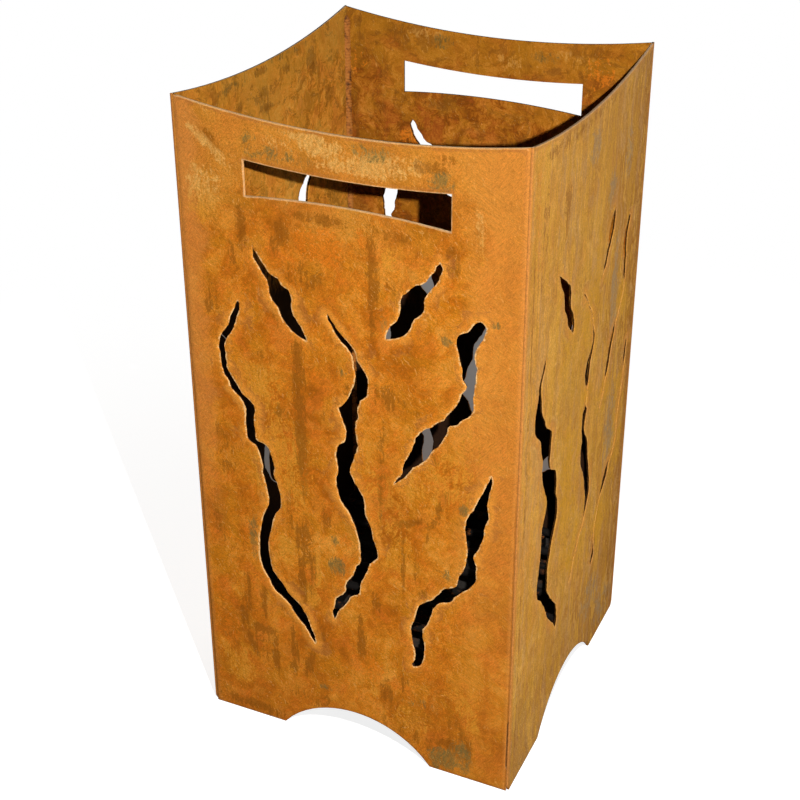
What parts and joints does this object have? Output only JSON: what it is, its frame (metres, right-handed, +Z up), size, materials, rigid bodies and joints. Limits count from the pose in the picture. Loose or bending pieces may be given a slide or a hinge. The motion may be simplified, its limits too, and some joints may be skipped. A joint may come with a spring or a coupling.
{
  "type": "fire barrel",
  "caption": "Square steel fire barrel with dipped rim, hand slots, torn flame cuts, arched feet, lift-out ash pan and grate.",
  "frame": {"origin": "centre of the base, on the ground between the feet", "axes": "+Z up; the front, with a hand slot, faces -Y; +X is to the right seen from the front"},
  "size_m": [0.35, 0.35, 0.7],
  "materials": {
    "front_rust": "orange rust patina over brushed sheet steel",
    "back_rust": "brown-orange rust patina",
    "side_rust": "yellow-brown rust patina with upright streaks",
    "weld": "rusted weld bead",
    "lug_steel": "sooty rusted steel",
    "pan_steel": "heat-darkened sheet steel",
    "grate_steel": "heat-scaled black steel"
  },
  "bodies": {
    "barrel": {"front_panel": "front_rust", "back_panel": "back_rust", "left_panel": "side_rust", "right_panel": "side_rust", "corner_weld_front_left": "weld", "corner_weld_front_right": "weld", "corner_weld_back_left": "weld", "corner_weld_back_right": "weld", "pan_lug_front_left": "lug_steel", "pan_lug_front_right": "lug_steel", "pan_lug_back_left": "lug_steel", "pan_lug_back_right": "lug_steel"},
    "pan": {"ash_pan": "pan_steel"},
    "grate": {"grate_rail_left": "grate_steel", "grate_rail_right": "grate_steel", "grate_bar_1": "grate_steel", "grate_bar_2": "grate_steel", "grate_bar_3": "grate_steel", "grate_bar_4": "grate_steel", "grate_bar_5": "grate_steel", "grate_bar_6": "grate_steel", "grate_bar_7": "grate_steel", "grate_bar_8": "grate_steel", "grate_bar_9": "grate_steel"}
  },
  "joints": [
    {"name": "ash_pan_lift", "type": "slide", "parent": "barrel", "child": "pan", "axis": [0, 0, 1], "range_m": [0, 0.66]},
    {"name": "grate_lift", "type": "slide", "parent": "pan", "child": "grate", "axis": [0, 0, 1], "range_m": [0, 0.66]}
  ]
}
